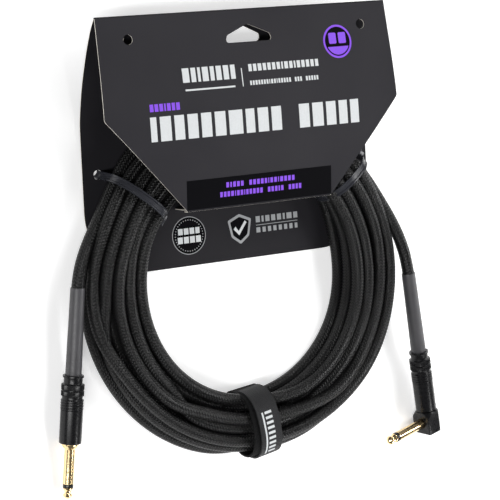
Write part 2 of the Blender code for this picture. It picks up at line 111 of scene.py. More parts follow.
# Card
CARD_THICKNESS = 0.5
FRONT_PROFILE = ((-0.35, 28.8), (-20.0, 31.2), (-40.0, 33.6), (-59.6, 35.0), (-80.0, 34.8),
                 (-100.0, 33.4), (-117.2, 31.6))
BACK_PROFILE = ((-0.35, 28.0), (-4.0, 24.8), (-10.0, 20.8), (-21.0, 15.0), (-36.0, 8.6), (-46.0, 5.4),
                (-56.0, 3.0), (-62.0, 2.05), (-70.0, 1.75), (-80.0, 1.75), (-95.0, 1.75), (-120.0, 1.75),
                (-160.0, 1.75))
CREASE_HALF_WIDTH = 100.8
KINK_HALF_WIDTH = 102.5
KINK_DEPTH = 59.6
FRONT_HALF_WIDTH = 51.0
FRONT_DEPTH = 116.9
BACK_LEFT_WIDTH = 105.5
BACK_RIGHT_WIDTH = 97.0
BACK_DEPTH = 153.5
BACK_CORNER = 38.0
HANG_HOLE = ((-16.4, -19.5, 1.8), (16.4, -19.5, 1.8), (14.8, -15.0, 2.4), (0.0, -8.8, 2.4),
             (-14.8, -15.0, 2.4))
PUNCH_HOLE = (81.1, -13.5)
PUNCH_RADIUS = 3.0
TONGUE_HALF_WIDTH = 45.0
TONGUE_FOOT = 2.4

# Ties and strap
TIE_ANGLES = {"left": 140.3, "right": 37.3}
TIE_HOLE_REACH = {"left": 116.0, "right": 116.0}
TIE_HOLE_RADIUS = 3.0
TIE_INNER_HOLE_RADIUS = 2.5
TIE_WIDTH = 4.8
TIE_INNER_REACH = {"left": 71.5, "right": 78.2}
STRAP_ANGLE = -89.4
STRAP_TURN = 9.0
STRAP_WEAVE = 20.0  # width of the band that the weave's scale is set for
BAND_HINGE = 28  # place along the outer band's path where its free end starts
MARKS = (29, 65, 4, 3)  # first and last place of the marks on that path, step and length of each mark

# Light that comes from the floor itself and from all round, so that the floor is nearly white
FLOOR_GLOW = 0.38
WORLD_GLOW = 0.1


# ---- Places and frames ----

def at(x, y, z):
    return Vector(((x + CREASE[0]) * MM, (y + CREASE[1]) * MM, z * MM))


def frame_of(x_axis, y_axis, z_axis, origin):
    made = Matrix.Identity(4)
    for i, column in enumerate((x_axis, y_axis, z_axis, origin)):
        made.col[i].xyz = column
    return made


def axis_frame(origin, direction, towards=(0, 0, 1)):
    """A frame at origin whose +Z runs along direction and whose +X leans towards the given vector."""
    along = Vector(direction).normalized()
    across = Vector(towards) - along * Vector(towards).dot(along)
    across.normalize()
    return frame_of(across, along.cross(across), along, origin)


def coil_frame(angle, turn=0.0, slide=0.0):
    """A frame at the coil's centre: +X out along the angle, +Y up, +Z along the cable's run."""
    around = math.radians(angle)
    outward = Vector((math.cos(around), math.sin(around), 0))
    up = Vector((0, 0, 1))
    along = outward.cross(up)
    made = frame_of(outward, up, along, at(*COIL_CENTRE, 0) + along * slide * MM)
    pivot = Matrix.Translation(Vector((90 * MM, 0, 0)))
    return made @ pivot @ Matrix.Rotation(math.radians(turn), 4, "Y") @ pivot.inverted()


def card_height(profile, y):
    places, heights = spline(profile, 6).T
    return np.interp(y, places[::-1], heights[::-1])


def spline(points, steps=12, closed=False):
    """Points on a smooth curve through the given ones."""
    points = np.array(points, float)
    if closed:
        padded = np.vstack([points[-1:], points, points[:2]])
    else:
        padded = np.vstack([2 * points[:1] - points[1:2], points, 2 * points[-1:] - points[-2:-1]])
    t = np.linspace(0, 1, steps, endpoint=False)[:, None]
    spans = []
    for a, b, c, d in zip(padded, padded[1:], padded[2:], padded[3:]):
        spans.append(0.5 * (2 * b + (c - a) * t + (2 * a - 5 * b + 4 * c - d) * t ** 2
                            + (3 * b - a - 3 * c + d) * t ** 3))
    if not closed:
        spans.append(points[-1:])
    return np.vstack(spans)


def filleted(corners, steps=4):
    """A closed outline through (x, y, radius) corners, each rounded to its radius."""
    outline = []
    count = len(corners)
    for i, (x, y, radius) in enumerate(corners):
        corner = Vector((x, y))
        if radius == 0:
            outline.append(tuple(corner))
            continue
        before = (Vector(corners[i - 1][:2]) - corner).normalized()
        after = (Vector(corners[(i + 1) % count][:2]) - corner).normalized()
        half = before.angle(after) / 2
        middle = corner + (before + after).normalized() * (radius / math.sin(half))
        first = corner + before * (radius / math.tan(half)) - middle
        last = corner + after * (radius / math.tan(half)) - middle
        swing = first.angle_signed(last)
        for step in range(steps + 1):
            outline.append(tuple(middle + Matrix.Rotation(-swing * step / steps, 2) @ first))
    return outline


def circle(x, y, radius, steps=40):
    turns = [2 * math.pi * i / steps for i in range(steps)]
    return [(x + radius * math.cos(turn), y + radius * math.sin(turn)) for turn in turns]


# ---- Materials ----

class Shader:
    """Builds a material's nodes: each method adds one and returns its output."""

    def __init__(self, name, color, roughness, metallic=0.0, **sockets):
        self.material = bpy.data.materials.new(name)
        self.material.use_nodes = True
        self.material.diffuse_color = (*color, 1)
        self.tree = self.material.node_tree
        self.bsdf = self.tree.nodes["Principled BSDF"]
        self.place = self.tree.nodes.new("ShaderNodeTexCoord")
        self.set("Base Color", (*color, 1))
        self.set("Roughness", roughness)
        self.set("Metallic", metallic)
        for socket, value in sockets.items():
            self.set(socket.replace("_", " "), value)

    def set(self, socket, value):
        if isinstance(value, bpy.types.NodeSocket):
            self.tree.links.new(value, self.bsdf.inputs[socket])
        else:
            self.bsdf.inputs[socket].default_value = value

    def add(self, kind, output=0, settings=(), **inputs):
        made = self.tree.nodes.new(kind)
        for name, value in dict(settings).items():
            setattr(made, name, value)
        for name, value in inputs.items():
            numbered = name[0] == "i" and name[1:].isdigit()
            socket = made.inputs[int(name[1:]) if numbered else name]
            if isinstance(value, bpy.types.NodeSocket):
                self.tree.links.new(value, socket)
            else:
                socket.default_value = value
        return made.outputs[output]

    def math(self, operation, first, second=0.0):
        return self.add("ShaderNodeMath", settings={"operation": operation}, i0=first, i1=second)

    def noise(self, scale, detail=3.0, stretch=(1, 1, 1)):
        mapping = self.add("ShaderNodeMapping", Vector=self.place.outputs["Object"], Scale=stretch)
        return self.add("ShaderNodeTexNoise", Vector=mapping, Scale=scale, Detail=detail)

    def spread(self, value, low, high, start=0.3, end=0.7):
        """The value between start and end, stretched to run from low to high."""
        return self.add("ShaderNodeMapRange", i0=value, i1=start, i2=end, i3=low, i4=high)

    def blend(self, factor, first, second):
        return self.add("ShaderNodeMix", 2, {"data_type": "RGBA"}, i0=factor, i6=(*first, 1), i7=(*second, 1))

    def shade(self, factor, first, second):
        self.set("Base Color", self.blend(factor, first, second))

    def bump(self, height, strength, distance):
        bumped = self.add("ShaderNodeBump", Height=height, Strength=strength, Distance=distance * MM)
        self.set("Normal", bumped)


def woven(shader, around, along, strength, distance, dark, light, gloss=(0.55, 0.3)):
    """A braid of two crossing sets of yarns on a tube whose UV runs round it and along it. Its colour is dark
    in the valleys between yarns and light on their crowns: painted shade and painted highlight.
    """
    op = shader.math
    uv = shader.add("ShaderNodeSeparateXYZ", Vector=shader.place.outputs["UV"])
    across = op("MULTIPLY", uv, around)
    length = op("MULTIPLY", uv.node.outputs[1], along)
    first, second = op("ADD", across, length), op("SUBTRACT", across, length)

    def ridge(turns):
        centred = op("SUBTRACT", op("FRACT", turns), 0.5)
        square = op("MULTIPLY", centred, centred)
        return op("SUBTRACT", 1.0, op("MULTIPLY", square, 4.0))

    sums = op("ADD", op("FLOOR", first), op("FLOOR", second))
    over = op("MODULO", op("ABSOLUTE", sums), 2.0)
    under = op("SUBTRACT", 1.0, over)
    height = op("ADD", op("MULTIPLY", ridge(first), over), op("MULTIPLY", ridge(second), under))
    fuzz = shader.noise(900.0, 2.0)
    shader.bump(op("ADD", height, op("MULTIPLY", fuzz, 0.25)), strength, distance)
    # The colour follows the yarns' height. The dark valleys are painted shade, and the light crowns are
    # painted highlight.
    shade = op("MULTIPLY", shader.spread(height, 0.0, 1.0, 0.45, 1.0),
               shader.spread(shader.noise(60.0), 0.7, 1.0))
    shader.shade(shade, dark, light)
    shader.set("Roughness", shader.spread(height, *gloss, 0.0, 1.0))


def braid_material():
    shader = Shader("braid", (0.006, 0.006, 0.006), 0.4, Specular_IOR_Level=0.3)
    # The braid's yarn valleys are painted dark and its crowns painted light: painted shade and highlight.
    woven(shader, 10.0, 12.0, 1.0, 0.4, (0.0001, 0.0001, 0.0001), (0.013, 0.013, 0.0135), (0.6, 0.24))
    return shader.material


def strap_material():
    shader = Shader("strap_weave", (0.012, 0.012, 0.013), 0.8, Sheen_Weight=0.06, Sheen_Roughness=0.5,
                    Specular_IOR_Level=0.3)
    # The strap's weave valleys are painted darker than its crowns: painted shade.
    woven(shader, 24.0, 24.0, 0.7, 0.2, (0.006, 0.006, 0.007), (0.02, 0.02, 0.022), (0.85, 0.6))
    return shader.material


def pile_material():
    shader = Shader("strap_pile", (0.005, 0.005, 0.0055), 0.95, Sheen_Weight=0.03, Sheen_Roughness=0.6,
                    Specular_IOR_Level=0.15)
    loops = shader.add("ShaderNodeTexVoronoi", Vector=shader.place.outputs["Object"], Scale=1500.0)
    shader.bump(loops, 1.0, 0.5)
    shader.shade(loops, (0.006, 0.006, 0.007), (0.0005, 0.0005, 0.0005))
    return shader.material


# A shade below 1 makes a darker copy of the same board. This is painted shade, used for the rear panel and
# the folds.
def card_material(name, shade):
    pale, deep = [tuple(shade * channel for channel in color)
                  for color in ((0.028, 0.027, 0.031), (0.022, 0.021, 0.025))]
    shader = Shader(name, pale, 0.5, Specular_IOR_Level=0.1)
    grain = shader.noise(1400.0, 2.0)
    shader.bump(grain, 0.12, 0.06)
    cloud = shader.spread(shader.noise(14.0), 0.0, 1.0)
    shader.shade(cloud, deep, pale)
    shader.set("Roughness", shader.spread(grain, 0.44, 0.56))
    return shader.material


def card_edge_material():
    shader = Shader("card_edge", (0.62, 0.56, 0.45), 0.85)
    fibres = shader.noise(2200.0, 4.0, stretch=(1, 1, 6))
    shader.bump(fibres, 0.4, 0.1)
    shader.shade(fibres, (0.75, 0.7, 0.6), (0.95, 0.92, 0.85))
    return shader.material


def ink_material(name, color, roughness=0.42, shine=0.12):
    shader = Shader(name, color, roughness, Specular_IOR_Level=shine)
    grain = shader.noise(1400.0, 2.0)
    shader.bump(grain, 0.08, 0.04)
    deep = tuple(0.93 * channel for channel in color)
    shader.shade(shader.spread(grain, 0.0, 1.0), deep, color)
    return shader.material


def plated_material(name, color, roughness, wear, grain=(1, 1, 1)):
    shader = Shader(name, color, roughness, 1.0)
    marks = shader.noise(500.0, 4.0, stretch=grain)
    shader.set("Roughness", shader.spread(marks, roughness * 0.8, roughness * 1.35))
    shader.shade(shader.spread(marks, 0.0, 1.0), color, wear)
    shader.bump(marks, 0.01, 0.002)
    return shader.material


def black_barrel_material():
    shader = Shader("black_plating", (0.006, 0.006, 0.007), 0.28, Specular_IOR_Level=0.27)
    marks = shader.noise(900.0, 4.0)
    shader.set("Roughness", shader.spread(marks, 0.26, 0.31))
    shader.shade(shader.spread(marks, 0.0, 1.0), (0.004, 0.004, 0.005), (0.008, 0.008, 0.009))
    return shader.material


def moulded_material(name, color, roughness, scale=700.0, depth=0.08):
    shader = Shader(name, color, roughness)
    grain = shader.noise(scale, 4.0)
    shader.bump(grain, 0.25, depth)
    light = tuple(min(1.0, 1.35 * channel) for channel in color)
    shader.shade(shader.spread(shader.noise(90.0), 0.0, 1.0), color, light)
    shader.set("Roughness", shader.spread(grain, roughness * 0.9, roughness * 1.15))
    return shader.material


# ---- Mesh making ----

def shade_smooth(mesh, sharp=35.0):
    """Smooth shading, apart from edges that bend by more than the given angle."""
    mesh.shade_smooth()
    mesh.set_sharp_from_angle(angle=math.radians(sharp))


def new_object(name, data):
    obj = bpy.data.objects.new(name, data)
    bpy.context.scene.collection.objects.link(obj)
    return obj


def add_mesh(name, points, faces, material, matrix=None, sharp=35.0):
    mesh = bpy.data.meshes.new(name)
    mesh.from_pydata([tuple(point) for point in points], [], faces)
    obj = new_object(name, mesh)
    if matrix is not None:
        mesh.transform(matrix)
    mesh.materials.append(material)
    tidy = bmesh.new()
    tidy.from_mesh(mesh)
    bmesh.ops.remove_doubles(tidy, verts=tidy.verts, dist=0.000002)
    bmesh.ops.recalc_face_normals(tidy, faces=tidy.faces)
    tidy.to_mesh(mesh)
    tidy.free()
    shade_smooth(mesh, sharp)
    return obj


def finish_piece(obj, body, slot, *nodes):
    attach(obj, body)
    if nodes:
        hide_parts(*nodes)
    return obj


def end_caps(count, sides):
    """The faces that close the first and the last of a row of rings."""
    return [tuple(range(sides))[::-1], tuple(range((count - 1) * sides, count * sides))]


def sweep(name, rings, closed_path, material, **options):
    """Skins a row of equal closed rings of points. An open row gets a cap at each end."""
    rings = np.array(rings)
    count, sides = rings.shape[:2]
    faces = []
    for i in range(count if closed_path else count - 1):
        a, b = i * sides, (i + 1) % count * sides
        faces += [(a + j, a + (j + 1) % sides, b + (j + 1) % sides, b + j) for j in range(sides)]
    if not closed_path:
        faces += end_caps(count, sides)
    return add_mesh(name, rings.reshape(-1, 3), faces, material, **options)


def lathe(name, outline, matrix, material, steps=96, tooth=None):
    """Turns a closed (radius, height) outline. tooth(radius, height, angle) adds to each radius."""
    rings = []
    for i in range(steps):
        angle = 2 * math.pi * i / steps
        ring = []
        for radius, height in outline:
            if tooth:
                radius += tooth(radius, height, angle)
            ring.append((radius * MM * math.cos(angle), radius * MM * math.sin(angle), height * MM))
        rings.append(ring)
    return sweep(name, rings, True, material, matrix=matrix)


def ribbon(name, loop, section, matrix, material, closed=True):
    """Sweeps a cross-section of (across, out) points along a path of (reach, height) points."""
    loop = np.array(loop, float)
    if closed:
        run = np.roll(loop, -1, 0) - np.roll(loop, 1, 0)
    else:
        run = np.gradient(loop, axis=0)
    run /= np.linalg.norm(run, axis=1)[:, None]
    rings = []
    for (reach, height), (dx, dy) in zip(loop, run):
        rings.append([((reach - dy * out) * MM, (height + dx * out) * MM, across * MM)
                      for across, out in section])
    return sweep(name, rings, closed, material, matrix=matrix, sharp=50.0)


def strip_uv(obj, width):
    """Gives a strip UVs in proportion to its size: one unit for each width."""
    mesh = obj.data
    layer = mesh.uv_layers.new(name="UVMap")
    for loop in mesh.loops:
        place = mesh.vertices[loop.vertex_index].co
        layer.data[loop.index].uv = (place.x / width, (place.y - place.z) / width)


# ---- The cable ----

def polar(points):
    """Angle in degrees, reach and height of points round the coil's centre."""
    points = np.array(points)
    x, y = points[:, 0] - COIL_CENTRE[0], points[:, 1] - COIL_CENTRE[1]
    return np.degrees(np.arctan2(y, x)), np.hypot(x, y), points[:, 2]


def boot_tops():
    """The far end of each boot, and the way from there towards its contact."""
    straight = Vector(STRAIGHT_DIRECTION).normalized()
    angled = Vector(ELBOW_DIRECTION).normalized()
    back = ELBOW_REACH + BARREL_LENGTH + ANGLED_BOOT_LENGTH + 1.0
    return (Vector(STRAIGHT_BOOT_TOP), straight), (Vector(ELBOW_CENTRE) - angled * back, angled)


def wanted_reach(turn, place):
    """Where each turn would like to lie: in rows that fill the bundle, with slow sways and a few swaps."""
    before = np.array([TURN_REACHES[max(k - 1, 0)] for k in turn])
    after = np.array([TURN_REACHES[k] for k in turn])
    share = np.clip((place - 10) / 36.0, 0, 1)
    share = share * share * (3 - 2 * share)
    reach = before + (after - before) * share
    sway = np.random.default_rng(11)
    path = turn * BINS + place
    for cycles, size in ((0.35, 1.8), (0.8, 1.3), (1.7, 0.8)):
        phase = sway.uniform(0, 2 * math.pi)
        drift = sway.uniform(0.8, 1.2)
        reach = reach + size * np.sin(2 * math.pi * cycles * drift * path / BINS + phase + turn * 2.4)
    for k, middle, width, size in SWAPS:
        reach = reach + (turn == k) * size * np.exp(-((place - middle) / width) ** 2)
    return reach


def resting_height(angle, reach):
    """How low a turn's middle can lie: on the card's back panel, or on the table past its edge."""
    y = COIL_CENTRE[1] + reach * np.sin(np.radians(angle))
    on_card = card_height(BACK_PROFILE, y) + CARD_THICKNESS / 2
    share = np.clip((y + BACK_DEPTH + 8) / 16, 0, 1)
    return CABLE_RADIUS + 0.25 + on_card * share + 0.9 * (1 - share)


def bundle_top(reach):
    """How high a turn's middle may lie: the bundle's top is crowned."""
    middle, half = sum(CENTRE_RADII) / 2, (CENTRE_RADII[1] - CENTRE_RADII[0]) / 2
    return CEILING - CROWN * np.abs((reach - middle) / half) ** 3


def push_apart(reach, height, live):
    """Moves turns that overlap at the same place round the coil away from each other."""
    moved_out, moved_up = np.zeros_like(reach), np.zeros_like(height)
    for apart in range(1, TURNS + 1):
        out, up = reach[apart:] - reach[:-apart], height[apart:] - height[:-apart]
        distance = np.hypot(out, up) + 0.0001
        overlap = np.clip(2 * CABLE_RADIUS + TURN_GAP - distance, 0, None) * live[apart:] * live[:-apart]
        step = PUSH * overlap / distance
        moved_out[apart:] += out * step
        moved_out[:-apart] -= out * step
        moved_up[apart:] += up * step
        moved_up[:-apart] -= up * step
    reach += moved_out
    height += moved_up


def lead_places(points):
    """A lead's route as angle, reach and height, with the angle rising."""
    angle, reach, height = polar(spline(points, 10))
    order = np.argsort(angle)
    return angle[order], reach[order], height[order]


def hold(held, angle, lead, reach, height, lift=0.0):
    """Puts the held places on a lead's own route."""
    reach[held] = np.interp(angle[held], lead[0], lead[1])
    height[held] = np.interp(angle[held], lead[0], lead[2]) + lift


def smooth(values, share):
    """Moves each place towards the middle of its neighbours."""
    values[1:-1] += share * (values[:-2] + values[2:] - 2 * values[1:-1])


def away_from(middle, angle):
    return (angle - middle + 180) % 360 - 180


def wind_coil():
    """Stacks the turns loosely, then presses them down into the bundle until they lie on each other."""
    count = int((TURNS * 360 + START_ANGLE - END_ANGLE) * BINS / 360) + 1
    path = np.arange((TURNS + 1) * BINS)
    live = (path < count).astype(float).reshape(TURNS + 1, BINS)
    turn, place = path // BINS, path % BINS
    angle = START_ANGLE - path * 360.0 / BINS
    (left_top, left_way), (right_top, right_way) = boot_tops()
    left = lead_places([left_top + left_way * 8, left_top, *STRAIGHT_LEAD_ROUTE])
    right = lead_places([right_top + right_way * 8, right_top, *ANGLED_LEAD_ROUTE])
    held_left = (turn == 0) & (angle > left[0][0] + 2)
    end_angle = angle + TURNS * 360
    held_right = (turn == TURNS) & (end_angle < right[0][-1] - 2) & (path < count)
    wanted = wanted_reach(turn, place)
    reach, height = wanted.copy(), 6.5 + TURN_SPACING * path / BINS
    hold(held_left, angle, left, reach, height)
    low = resting_height(angle, np.clip(reach, *CENTRE_RADII))
    widest = CENTRE_RADII[1] - STRAP_SQUEEZE * np.exp(-(away_from(STRAP_ANGLE, angle) / 10) ** 2)
    narrowest = CENTRE_RADII[0]
    for middle, squeeze, width in TIE_SQUEEZES:
        narrowest = narrowest + squeeze * np.exp(-(away_from(middle, angle) / width) ** 2)
    crowd = np.random.default_rng(5).uniform(-0.4, 0.4, len(path))
    for step in range(PRESS_STEPS + SETTLE_STEPS):
        lift = max(0.0, 1 - step / PRESS_STEPS) * (TURN_SPACING * (TURNS + 0.6) - CEILING + 8)
        height -= SINK
        reach += PULL * (wanted - reach) + 0.02 * crowd
        for _ in range(BEND_PASSES):
            smooth(reach[:count], 0.24)
            smooth(height[:count], 0.24)
        for _ in range(3):
            push_apart(reach.reshape(live.shape), height.reshape(live.shape), live)
            np.clip(reach, narrowest, widest, out=reach)
            np.clip(height, low, np.maximum(bundle_top(reach), low) + lift, out=height)
            hold(held_left, angle, left, reach, height)
            hold(held_right, end_angle, right, reach, height, lift)
    angle, reach, height = angle[:count], reach[:count], height[:count]
    for _ in range(4):
        smooth(reach, 0.25)
        smooth(height, 0.25)
    x = COIL_CENTRE[0] + reach * np.cos(np.radians(angle))
    y = COIL_CENTRE[1] + reach * np.sin(np.radians(angle))
    coil = np.column_stack([x, y, height])
    ends = [[np.array(top + way * back) for back in (14.0, 7.0, 0.0)]
            for top, way in ((left_top, left_way), (right_top, right_way))]
    return np.vstack([ends[0], coil[1:-1], ends[1][::-1]])


def even_path(points, step):
    """The smooth curve through the points, at even steps along it."""
    fine = spline(points, 8)
    walked = np.concatenate([[0], np.cumsum(np.linalg.norm(np.diff(fine, axis=0), axis=1))])
    places = np.linspace(0, walked[-1], int(walked[-1] / step) + 1)
    return np.column_stack([np.interp(places, walked, fine[:, axis]) for axis in range(3)])


def cable_mesh(path, radius, sides):
    """A tube along the path with one UV unit round it and the same scale along it."""
    run = np.gradient(path, axis=0)
    run /= np.linalg.norm(run, axis=1)[:, None]
    side = np.cross(run[0], (0, 0, 1))
    sides_of = []
    for tangent in run:
        side = side - tangent * side.dot(tangent)
        side /= np.linalg.norm(side)
        sides_of.append(side)
    side = np.array(sides_of)
    up = np.cross(run, side)
    turns = np.linspace(0, 2 * math.pi, sides, endpoint=False)
    rings = (path[:, None] + radius * (np.cos(turns)[None, :, None] * side[:, None]
                                       + np.sin(turns)[None, :, None] * up[:, None]))
    count = len(path)
    start = np.arange(count - 1)[:, None] * sides
    j = np.arange(sides)[None, :]
    after = (j + 1) % sides
    quads = np.stack([start + j, start + after, start + sides + after, start + sides + j], -1)
    mesh = bpy.data.meshes.new("cable")
    faces = quads.reshape(-1, 4).tolist() + end_caps(count, sides)
    mesh.from_pydata(rings.reshape(-1, 3).tolist(), [], faces)
    layer = mesh.uv_layers.new(name="UVMap")
    step = np.linalg.norm(path[1] - path[0]) / (2 * math.pi * radius)
    u = np.stack([j, j + 1, j + 1, j], -1) / sides + np.zeros((count - 1, 1, 1))
    along = np.arange(count - 1)[:, None] + 0 * j
    v = np.stack([along, along, along + 1, along + 1], -1) * step
    coordinates = np.zeros((len(mesh.loops), 2))
    coordinates[:quads.size] = np.stack([u, v], -1).reshape(-1, 2)
    layer.data.foreach_set("uv", coordinates.ravel())
    mesh.shade_smooth()
    return mesh


def cable(materials):
    path = even_path(wind_coil(), RING_SPACING)
    placed = np.array([at(*point) for point in path])
    mesh = cable_mesh(placed, CABLE_RADIUS * MM, CABLE_SIDES)
    mesh.materials.append(materials["braid"])
    obj = new_object("cable", mesh)
    finish_piece(obj, "root", "braid", "cable_coil", "cable_lead_straight", "cable_lead_angled")
    return obj, placed


# ---- Card ----

def plate_faces(first, count):
    """The faces of a flat solid: its lower outline starts at the given point, and its upper one follows."""
    above = first + count
    faces = [tuple(range(first, above))[::-1], tuple(range(above, above + count))]
    for i in range(count):
        after = (i + 1) % count
        faces.append((first + i, first + after, above + after, above + i))
    return faces


def plate(name, outline, low, high, matrix, material):
    """A flat solid of the outline between two heights."""
    points = [(x * MM, y * MM, z * MM) for z in (low, high) for x, y in outline]
    return add_mesh(name, points, plate_faces(0, len(outline)), material, matrix=matrix)


def settled(obj):
    """Applies the object's modifiers."""
    graph = bpy.context.evaluated_depsgraph_get()
    mesh = bpy.data.meshes.new_from_object(obj.evaluated_get(graph), depsgraph=graph)
    obj.modifiers.clear()
    obj.data = mesh
    shade_smooth(mesh)
    return obj


def bent_sheet(name, profile, outline, holes, face, edge):
    """Card bent along a smooth (y, height) profile, cut to a plan outline, with pale cut edges."""
    reach = BACK_LEFT_WIDTH + 5
    places = spline(profile, 6)
    columns = 9
    points, faces = [], []
    for y, height in places:
        points += [at(reach * (2 * i / (columns - 1) - 1), y, height) for i in range(columns)]
    for row in range(len(places) - 1):
        for i in range(columns - 1):
            a = row * columns + i
            faces.append((a, a + 1, a + columns + 1, a + columns))
    sheet = add_mesh(name, points, faces, face)
    skin = sheet.modifiers.new("Thickness", "SOLIDIFY")
    skin.thickness = CARD_THICKNESS * MM
    skin.offset = 0
    cutters = []
    base = Matrix.Translation(at(0, 0, 0))
    cuts = [(outline, "INTERSECT")] + [(hole, "DIFFERENCE") for hole in holes]
    for number, (shape, operation) in enumerate(cuts):
        cutter = plate(f"{name}_cutter_{number}", shape, -5, 60, base, edge)
        boolean = sheet.modifiers.new(cutter.name, "BOOLEAN")
        boolean.operation = operation
        boolean.solver = "EXACT"
        boolean.material_mode = "TRANSFER"
        boolean.object = cutter
        cutters.append(cutter)
    settled(sheet)
    for cutter in cutters:
        bpy.data.objects.remove(cutter)
    return sheet


def shared_holes():
    return [filleted(HANG_HOLE, 6), circle(PUNCH_HOLE[0], PUNCH_HOLE[1], PUNCH_RADIUS),
            circle(-PUNCH_HOLE[0], PUNCH_HOLE[1], PUNCH_RADIUS)]


def tie_holes():
    holes = []
    for side, angle in TIE_ANGLES.items():
        turn = math.radians(angle)
        for reach, radius in ((TIE_HOLE_REACH[side], TIE_HOLE_RADIUS),
                              (TIE_INNER_REACH[side], TIE_INNER_HOLE_RADIUS)):
            x, y = COIL_CENTRE[0] + reach * math.cos(turn), COIL_CENTRE[1] + reach * math.sin(turn)
            holes.append(circle(x, y, radius, 24))
    return holes


def card(materials):
    back = [(-CREASE_HALF_WIDTH, 0.2, 0), (-BACK_LEFT_WIDTH, -BACK_DEPTH, BACK_CORNER),
            (BACK_RIGHT_WIDTH, -BACK_DEPTH, BACK_CORNER), (CREASE_HALF_WIDTH, 0.2, 0)]
    # The rear panel takes a darker copy of the board's colour: painted shade.
    sheet = bent_sheet("card_back_sheet", BACK_PROFILE, filleted(back, 16), shared_holes() + tie_holes(),
                       materials["card_rear_painted_shade"], materials["card_edge"])
    finish_piece(sheet, "root", "card_board", "card_back")
    front = [(-CREASE_HALF_WIDTH, 0.2, 0), (-KINK_HALF_WIDTH, -KINK_DEPTH, 3.0),
             (-FRONT_HALF_WIDTH, -FRONT_DEPTH, 1.0), (FRONT_HALF_WIDTH, -FRONT_DEPTH, 1.0),
             (KINK_HALF_WIDTH, -KINK_DEPTH, 3.0), (CREASE_HALF_WIDTH, 0.2, 0)]
    sheet = bent_sheet("card_front_sheet", FRONT_PROFILE, filleted(front, 5), shared_holes(),
                       materials["card"], materials["card_edge"])
    finish_piece(sheet, "card_front_body", "card_board", "card_front")
    top = FRONT_PROFILE[-1][1] - CARD_THICKNESS / 2
    tongue = [(-TONGUE_HALF_WIDTH, TONGUE_FOOT, 4.0), (TONGUE_HALF_WIDTH, TONGUE_FOOT, 4.0),
              (TONGUE_HALF_WIDTH, 22.0, 2.0), (FRONT_HALF_WIDTH, 28.0, 2.0), (FRONT_HALF_WIDTH, top, 0),
              (-FRONT_HALF_WIDTH, top, 0), (-FRONT_HALF_WIDTH, 28.0, 2.0), (-TONGUE_HALF_WIDTH, 22.0, 2.0)]
    place = Matrix.Translation(at(0, -FRONT_DEPTH - CARD_THICKNESS, 0))
    upright = place @ Matrix.Rotation(math.pi / 2, 4, "X")
    flap = plate("card_tongue_flap", filleted(tongue, 6), -CARD_THICKNESS / 2, CARD_THICKNESS / 2, upright,
                 materials["card"])
    flap.data.materials.append(materials["card_edge"])
    for face in flap.data.polygons:
        if abs(face.normal.y) < 0.5:
            face.material_index = 1
    finish_piece(flap, "card_tongue_body", "card_board", "card_tongue")
    creases(materials)


def crease_strip(name, half_width, middle, start, end, material):
    """A thin rounded strip of card along a fold, through (y, height) points round the fold's outside."""
    run = spline([start, middle, end], 6)
    section = [(-half_width, -CARD_THICKNESS / 2), (half_width, -CARD_THICKNESS / 2),
               (half_width, CARD_THICKNESS / 2), (-half_width, CARD_THICKNESS / 2)]
    step = np.gradient(run, axis=0)
    step /= np.linalg.norm(step, axis=1)[:, None]
    rings = [[at(x, y - dz * out, z + dy * out) for x, out in section] for (y, z), (dy, dz) in zip(run, step)]
    return sweep(name, rings, False, material)


def creases(materials):
    """The two folds: each strip bends between the panels that it joins."""
    # The fold strips take a darker copy of the board's colour: painted shade in the creases.
    fold = crease_strip("card_top_fold", CREASE_HALF_WIDTH, (0.25, 28.4), (-0.45, 28.0), (-0.4, 28.85),
                        materials["card_fold_painted_shade"])
    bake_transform(fold)
    foot = crease_strip("card_foot_fold", FRONT_HALF_WIDTH - 0.6, (-117.3, 31.55), (-116.85, 31.62),
                        (-117.4, 31.05), materials["card_fold_painted_shade"])
    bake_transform(foot)


# ---- Print ----

def printed(name, outlines, panel, level, material):
    """Ink on a panel: thin shapes that follow its surface. A higher level lies over a lower one."""
    profile, body = panel
    points, faces = [], []
    for outline in outlines:
        faces += plate_faces(len(points), len(outline))
        surface = card_height(profile, np.array(outline)[:, 1]) + CARD_THICKNESS / 2
        for lift in (0.02, 0.07):
            points += [at(x, y, height + lift + 0.06 * level) for (x, y), height in zip(outline, surface)]
    finish_piece(add_mesh(f"print_{name}", points, faces, material), body, "card_board")


def bar(left, right, low, high, round_by=0.0):
    """A rectangle with extra points down its sides, so that it follows the card's bend."""
    rows = max(1, int((high - low) / 3))
    if round_by:
        return filleted([(left, low, round_by), (right, low, round_by), (right, high, round_by),
                         (left, high, round_by)], 3)
    up = [(right, low + (high - low) * i / rows) for i in range(rows + 1)]
    return up + [(left, y) for _, y in up[::-1]]


def words(left, right, low, high, widths, gap):
    """A line of plain blocks with the rhythm of words: widths are shares, and 0 is a space."""
    total = sum(width if width else 1.0 for width in widths) + gap * (len(widths) - 1)
    scale = (right - left) / total
    x, blocks = left, []
    for width in widths:
        if width:
            blocks.append(bar(x, x + width * scale, low, high))
        x += ((width or 1.0) + gap) * scale
    return blocks


